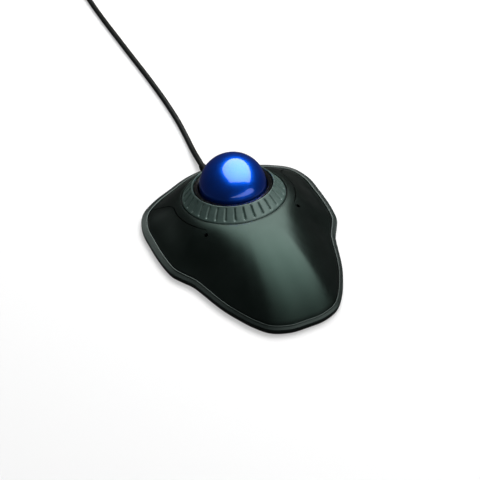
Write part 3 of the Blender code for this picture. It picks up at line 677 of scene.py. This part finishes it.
def screws():
    """Pan-head case screws with cross recesses."""
    for number, (x, y) in enumerate(CASE_SCREWS, start=1):
        head = [(0, 1.4), (1.2, 1.42), (1.9, 1.55), (2.3, 1.85), (2.4, 2.2), (2.4, 2.8), (1.3, 2.8),
                (1.3, 6.6), (0.7, 7.0), (0, 7.0)]
        place_it = Matrix.Translation((x * MM, y * MM, 0))
        item = finish_mesh(f"case_screw_{number}_skin",
                           turned([(r * MM, h * MM) for r, h in head], 40, place_it),
                           SKINS["steel"], hides=[f"case_screw_{number}"])
        for half_x, half_y in ((1.4, 0.3), (0.3, 1.4)):
            low = ((x - half_x) * MM, (y - half_y) * MM, 0.9 * MM)
            high = ((x + half_x) * MM, (y + half_y) * MM, 2.1 * MM)
            combine(item, block(low, high), "DIFFERENCE")


def feet():
    """Rubber pads with a rounded edge and a shallow ring groove."""
    for number, (x, y) in enumerate(FEET, start=1):
        profile = [(0, 0.0), (2.6, 0), (2.7, 0.12), (2.95, 0.12), (3.05, 0), (4.6, 0), (4.88, 0.1),
                   (5, 0.35), (5, 0.9), (0, 0.9)]
        place_it = Matrix.Translation((x * MM, y * MM, 0))
        finish_mesh(f"foot_{number}_skin",
                    turned([(r * MM, h * MM) for r, h in profile], 64, place_it),
                    SKINS["foot_rubber"], hides=[f"foot_{number}"])


# ---------------------------------------------------------------- cord

def strain_relief():
    """Tapered grommet with moulded ribs and its flange inside the wall."""
    place_it = Matrix.Translation((0, 0, CORD_EXIT_HEIGHT)) @ Matrix.Rotation(-math.pi / 2, 4, "X")
    profile = [(0, 60.5), (2.2, 60.5), (2.2, 70.85), (2.5, 71.0), (2.5, 71.7), (2.2, 71.85), (2.2, 72.2),
               (2.36, 72.35), (2.34, 72.9), (2.08, 73.05), (2.06, 73.4), (2.2, 73.55), (2.12, 74.3),
               (1.9, 74.5), (0, 74.5)]
    item = finish_mesh("strain_relief_skin", turned([(r * MM, h * MM) for r, h in profile], 48, place_it),
                       SKINS["cord_black"], hides=["strain_relief"])
    combine(item, block((-3.4 * MM, 60.2 * MM, 2.4 * MM), (3.4 * MM, 61.6 * MM, 7.2 * MM)), "UNION")
    return item


def coil_points():
    """Turns beside and on each other: out and in again, one layer higher each time."""
    per_layer = COIL_TURNS / COIL_LAYERS
    inner = COIL_RADIUS - COIL_PITCH * per_layer
    points = []
    for turn in np.linspace(0, COIL_TURNS, round(COIL_TURNS * 48)):
        layer = min(int(turn / per_layer), COIL_LAYERS - 1)
        along = turn - layer * per_layer
        radius = COIL_RADIUS - COIL_PITCH * along if layer % 2 == 0 else inner + COIL_PITCH * along
        rise = sum(smooth_step(k * per_layer - 0.12, k * per_layer + 0.12, turn)
                   for k in range(1, COIL_LAYERS))
        angle = math.pi - math.tau * turn
        points.append((COIL_CENTRE[0] + radius * math.cos(angle), COIL_CENTRE[1] + radius * math.sin(angle),
                       COIL_FIRST_HEIGHT + CORD_DIAMETER * rise))
    return points


def cord_line():
    """Centreline of the whole cord: over the desk, round the coil and down to the plug."""
    coil = coil_points()
    start = [(x * MM, y * MM, z * MM) for x, y, z in CORD_ROUTE]
    end = [(x * MM, y * MM, z * MM) for x, y, z in CORD_END_ROUTE]
    first = curve_points(start + coil[:1], 8)
    last = curve_points(coil[-1:] + end, 8)
    return [tuple(p) for p in first[:-1]] + coil + [tuple(p) for p in last[1:]]


def cord(plug_pieces):
    """The cord as one smooth curve."""
    line = cord_line()
    curve = bpy.data.curves.new("cord_skin", "CURVE")
    curve.dimensions = "3D"
    curve.bevel_depth = CORD_DIAMETER / 2
    curve.bevel_resolution = 5
    curve.use_fill_caps = True
    spline = curve.splines.new("POLY")
    spline.points.add(len(line) - 1)
    for target, point in zip(spline.points, line):
        target.co = (*point, 1.0)
    spline.use_smooth = True
    curve.materials.append(SKINS["cord_black"])
    item = bpy.data.objects.new("cord_skin", curve)
    bpy.context.scene.collection.objects.link(item)
    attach(item, "body")
    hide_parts("cord", "cord_end", "cord_coil")


def rounded_loop(centre, half_x, half_z, corner, y):
    """Rounded rectangle in the XZ plane."""
    points = []
    for sx, sz, start in ((1, 1, 0), (-1, 1, 90), (-1, -1, 180), (1, -1, 270)):
        middle = (sx * (half_x - corner), sz * (half_z - corner))
        points += arc_points(middle, corner, start, start + 90, 7)
    return [(centre[0] + a * MM, y, centre[2] + b * MM) for a, b in points]


def plug():
    """USB plug: moulded grip with a ribbed boot, metal shell with its latch windows, and tongue."""
    x, y, z = PLUG_PLACE
    spans = [(0, 2.7, 2.5), (0.3, 3.0, 2.8), (1.6, 3.0, 2.8), (1.8, 2.7, 2.5), (2.6, 2.75, 2.5),
             (2.8, 3.2, 2.9), (4.2, 3.3, 2.95), (4.4, 2.9, 2.6), (5.2, 3.0, 2.65), (5.4, 3.6, 3.1),
             (7.0, 4.6, 3.4), (8.4, 6.4, 3.75), (9.6, 7.4, 3.95), (11.0, 7.75, 4.0), (22.6, 7.7, 4.0),
             (23.6, 7.45, 3.8), (24.0, 7.0, 3.4)]
    loops = [rounded_loop((x, y, z), a, b, min(1.6, b - 0.1), y - depth * MM) for depth, a, b in spans]
    grip = finish_mesh("plug_grip_skin", loft(loops), SKINS["cord_black"], sharp=40,
                       hides=["plug_grip"])
    face = y - PLUG_FACE
    outer = [rounded_loop((x, y, z), 6.0, 2.25, 0.55, face - d * MM) for d in (-1.3, 0, 11.7, 12.0)]
    metal = finish_mesh("plug_shell_skin", loft(outer), SKINS["steel"], hides=["plug_shell"])
    cavity = loft([rounded_loop((x, y, z), 5.7, 1.95, 0.3, face - d * MM) for d in (-0.5, 20)])
    combine(metal, cavity, "DIFFERENCE")
    for side in (-1, 1):
        low = (x + (side * 3 - 1.1) * MM, face - 7.4 * MM, z)
        high = (x + (side * 3 + 1.1) * MM, face - 5.0 * MM, z + 5 * MM)
        combine(metal, block(low, high), "DIFFERENCE")
    tongue = finish_mesh("plug_tongue_skin",
                         loft([rounded_loop((x, y, z + 0.75 * MM), 5.3, 0.85, 0.2, face - d * MM)
                               for d in (0, 11.2, 11.5)]),
                         SKINS["contact_white"], hides=["plug_tongue"])
    return [grip, metal, tongue]


def cable_tie():
    """Soft strap round the turns, its corners rounded over the outermost ones."""
    x, y = COIL_CENTRE
    low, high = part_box("cable_tie")
    middle_y, middle_z = (low[1] + high[1]) / 2, (low[2] + high[2]) / 2
    half_y, half_z = (high[1] - low[1]) / 2, (high[2] - low[2]) / 2

    def loop(shrink, at):
        """Rounded loop of the strap, drawn in from its box, at one side of its width."""
        points = []
        corner = 1.6 * MM - shrink
        for sy, sz, start in ((1, 1, 0), (-1, 1, 90), (-1, -1, 180), (1, -1, 270)):
            centre = (middle_y + sy * (half_y - shrink - corner), middle_z + sz * (half_z - shrink - corner))
            points += arc_points(centre, corner, start, start + 90, 7)
        return [(x + at, a, b) for a, b in points]

    half_width = (high[0] - low[0]) / 2
    loops = [loop(0.12 * MM, -half_width), loop(0, -half_width + 0.15 * MM), loop(0, half_width - 0.15 * MM),
             loop(0.12 * MM, half_width), loop(TIE_THICKNESS, half_width),
             loop(TIE_THICKNESS, -half_width)]
    return finish_mesh("cable_tie_skin", loft(loops, closed=True), SKINS["inner_black"],
                       hides=["cable_tie"])


# ---------------------------------------------------------------- studio

CAMERA_PLACE = (-0.2560, -0.5312, 0.5843)
CAMERA_AZIMUTH = -24.98
CAMERA_ELEVATION = 44.46
CAMERA_LENS = 105.6
SENSOR_WIDTH = 36.0
SOFTBOX_HEIGHT = 1.0
BALL_SOFTBOX_HEIGHT = 1.02
SOFTBOX_CORNERS = [(-0.52, -0.6), (1.1, -1.1), (1.1, 0.5), (1.05, 1.0), (0.8, 1.3), (0.45, 1.3),
                   (-0.05, 0.95), (-0.42, 0.6), (-0.54, 0.1)]
BALL_CORNERS = [(-0.52, -0.6), (1.5, -1.3), (1.46, 0.5), (1.3, 1.1), (0.9, 1.4), (0.45, 1.3), (-0.05, 0.95),
                (-0.42, 0.6), (-0.54, 0.1)]
SOFTBOX_STRENGTH = 9.0
SOFTBOX_FADE_X = (-0.35, 0.42, 0.04)
SOFTBOX_FADE_Y = (-0.9, 0.64, 0.06)
BALL_SOFTBOX_STRENGTH = 9.0
BALL_FADE_X = (-0.6, 0.4, 0.68)
BALL_FADE_Y = (-1.3, 0.5, 0.6)
CARD_DISTANCE = 1.2
FRONT_CARD_STRENGTH = 2.3
FRONT_CARD = [(132, -3), (133, 5), (139, 11), (148, 15), (158, 15), (172, 12), (192, 7), (212, 3),
              (212, 1), (195, 1), (172, 0), (150, -2)]
BACK_CARD_STRENGTH = 0.65
BACK_CARD = [(-85, 1), (-85, 12), (-20, 12), (-20, 1)]
EDGE_CARD_STRENGTH = 2.6
EDGE_CARD = [(-48, 10), (-48, 38), (-8, 38), (-8, 10)]
RING_CARD_STRENGTH = 1.1
RING_CARD = [(80, 14), (80, 52), (190, 52), (190, 14)]
DESK_CARD_STRENGTH = 1.6
DESK_CARD = [(0.065, -0.15), (0.7, -0.15), (0.7, 0.8), (-0.6, 0.8), (-0.6, 0.04), (-0.064, 0.04),
             (-0.04, 0.09), (0.04, 0.09)]
DESK_CARD_HEIGHT = 0.002
FLOOR_ALBEDO = 0.4
FLOOR_GLOW = 0.41
WORLD_STRENGTH = 0.05
BACKDROP_RADIUS = 3.0


def stage_piece(name, shape, finish):
    """A piece of the studio that is seen directly and neither lights the object nor shows in its gloss."""
    mesh = bpy.data.meshes.new(name)
    shape.to_mesh(mesh)
    shape.free()
    mesh.materials.append(finish)
    item = bpy.data.objects.new(name, mesh)
    item.visible_glossy = False
    item.visible_diffuse = False
    item.visible_transmission = False
    bpy.context.scene.collection.objects.link(item)
    return item


def backdrop_white():
    """Evenly lit white paper."""
    made = bpy.data.materials.new("backdrop_white")
    made.use_nodes = True
    made.node_tree.nodes.clear()
    emission = node(made, "ShaderNodeEmission", Strength=1.0)
    output = node(made, "ShaderNodeOutputMaterial")
    made.node_tree.links.new(emission.outputs[0], output.inputs[0])
    return made


def studio():
    """Pale floor and backdrop, the light panels and a dim world."""
    shape = bmesh.new()
    bmesh.ops.create_grid(shape, x_segments=1, y_segments=1, size=BACKDROP_RADIUS)
    floor = stage_piece("floor", shape,
                        new_material("floor_paper", (FLOOR_ALBEDO,) * 3, 0.9, Specular_IOR_Level=0.0,
                                     Emission_Color=(1, 1, 1, 1), Emission_Strength=FLOOR_GLOW))
    shape = bmesh.new()
    bmesh.ops.create_uvsphere(shape, u_segments=48, v_segments=24, radius=BACKDROP_RADIUS)
    backdrop = stage_piece("backdrop", shape, backdrop_white())
    backdrop.visible_shadow = False
    lights()
    world = bpy.data.worlds.new("studio")
    world.use_nodes = True
    world.node_tree.nodes["Background"].inputs["Color"].default_value = (1, 1, 1, 1)
    world.node_tree.nodes["Background"].inputs["Strength"].default_value = WORLD_STRENGTH
    bpy.context.scene.world = world


def lights():
    """One overhead panel for the ball, one for the rest, and the cards, some for one piece only."""
    ball, ring, band = ["ball_skin"], ["scroll_ring_skin"], ["rim_band_skin", "rim_wall_skin"]
    desk = light_panel("desk_card", [(x, y, DESK_CARD_HEIGHT) for x, y in DESK_CARD],
                       light_material("desk_card", DESK_CARD_STRENGTH))
    return [
        link_light(softbox("softbox", SOFTBOX_CORNERS, SOFTBOX_HEIGHT, SOFTBOX_STRENGTH, SOFTBOX_FADE_X,
                           SOFTBOX_FADE_Y), ball, "EXCLUDE"),
        link_light(softbox("ball_softbox", BALL_CORNERS, BALL_SOFTBOX_HEIGHT, BALL_SOFTBOX_STRENGTH,
                           BALL_FADE_X, BALL_FADE_Y), ball, "INCLUDE"),
        upright_card("front_card", FRONT_CARD, FRONT_CARD_STRENGTH),
        link_light(upright_card("back_card", BACK_CARD, BACK_CARD_STRENGTH), ball + ring, "EXCLUDE"),
        link_light(upright_card("edge_card", EDGE_CARD, EDGE_CARD_STRENGTH), band, "INCLUDE"),
        link_light(upright_card("ring_card", RING_CARD, RING_CARD_STRENGTH), ring, "INCLUDE"),
        link_light(desk, band, "INCLUDE"),
    ]


def fade(made, source, low, high, dimmest):
    """Smooth ramp from the dimmest value at low to 1 at high."""
    ramp = node(made, "ShaderNodeMapRange", interpolation_type="SMOOTHSTEP")
    for key, value in (("From Min", low), ("From Max", high), ("To Min", dimmest), ("To Max", 1.0)):
        ramp.inputs[key].default_value = value
    made.node_tree.links.new(source, ramp.inputs["Value"])
    return ramp.outputs["Result"]


def light_material(name, strength, fades=()):
    """An emission that lets the light of other panels through, and may fade along X and Y."""
    made = bpy.data.materials.new(name)
    made.use_nodes = True
    tree = made.node_tree
    tree.nodes.clear()
    emission = node(made, "ShaderNodeEmission", Strength=strength)
    passing = node(made, "ShaderNodeBsdfTransparent")
    both = node(made, "ShaderNodeAddShader")
    output = node(made, "ShaderNodeOutputMaterial")
    tree.links.new(emission.outputs[0], both.inputs[0])
    tree.links.new(passing.outputs[0], both.inputs[1])
    tree.links.new(both.outputs[0], output.inputs[0])
    if fades:
        coords = node(made, "ShaderNodeTexCoord")
        axes = node(made, "ShaderNodeSeparateXYZ")
        tree.links.new(coords.outputs["Object"], axes.inputs[0])
        product = node(made, "ShaderNodeMath", operation="MULTIPLY")
        scaled = node(made, "ShaderNodeMath", operation="MULTIPLY")
        scaled.inputs[1].default_value = strength
        for entry, axis, values in ((0, "X", fades[0]), (1, "Y", fades[1])):
            tree.links.new(fade(made, axes.outputs[axis], *values), product.inputs[entry])
        tree.links.new(product.outputs[0], scaled.inputs[0])
        tree.links.new(scaled.outputs[0], emission.inputs["Strength"])
    return made


def light_panel(name, corners, finish):
    """A flat panel that lights the scene and shows only in reflections."""
    mesh = bpy.data.meshes.new(name)
    mesh.from_pydata(corners, [], [list(range(len(corners)))])
    mesh.materials.append(finish)
    panel = bpy.data.objects.new(name, mesh)
    panel.visible_camera = False
    panel.visible_shadow = False
    bpy.context.scene.collection.objects.link(panel)
    return panel


def softbox(name, outline, height, strength, fade_x, fade_y):
    """An overhead panel that fades to the front and to the left."""
    corners = [(x, y, height) for x, y in reversed(outline)]
    return light_panel(name, corners, light_material(name, strength, (fade_x, fade_y)))


def link_light(panel, names, state):
    """Let a panel light only the named objects, or leave only those out."""
    linked = bpy.data.collections.new(panel.name + "_receivers")
    for name in names:
        linked.objects.link(bpy.data.objects[name])
    for entry in linked.collection_objects:
        entry.light_linking.link_state = state
    panel.light_linking.receiver_collection = linked
    return panel


def upright_card(name, outline, strength):
    """An upright card round the object, from azimuths and elevations in degrees."""
    corners = []
    for azimuth, elevation in outline:
        turn = math.radians(azimuth)
        corners.append((CARD_DISTANCE * math.sin(turn), CARD_DISTANCE * math.cos(turn),
                        BALL_CENTRE.z + CARD_DISTANCE * math.tan(math.radians(elevation))))
    return light_panel(name, corners, light_material(name, strength))


def camera():
    """The main camera, and a plain view transform."""
    data = bpy.data.cameras.new("camera")
    data.lens = CAMERA_LENS
    data.sensor_width = SENSOR_WIDTH
    item = bpy.data.objects.new("camera", data)
    item.location = CAMERA_PLACE
    item.rotation_euler = (math.radians(90 - CAMERA_ELEVATION), 0, math.radians(CAMERA_AZIMUTH))
    bpy.context.scene.collection.objects.link(item)
    bpy.context.scene.camera = item
    bpy.context.scene.view_settings.view_transform = "Standard"


def build():
    """Make every piece and the studio."""
    camera()
    dress_frame()
    relief = strain_relief()
    cord([*plug(), cable_tie()])
    top_skins()
    rim_band()
    bottom_skin()
    scroll_ring_skin()
    ball_skin()
    cup_skin()
    screws()
    feet()
    studio()


build()
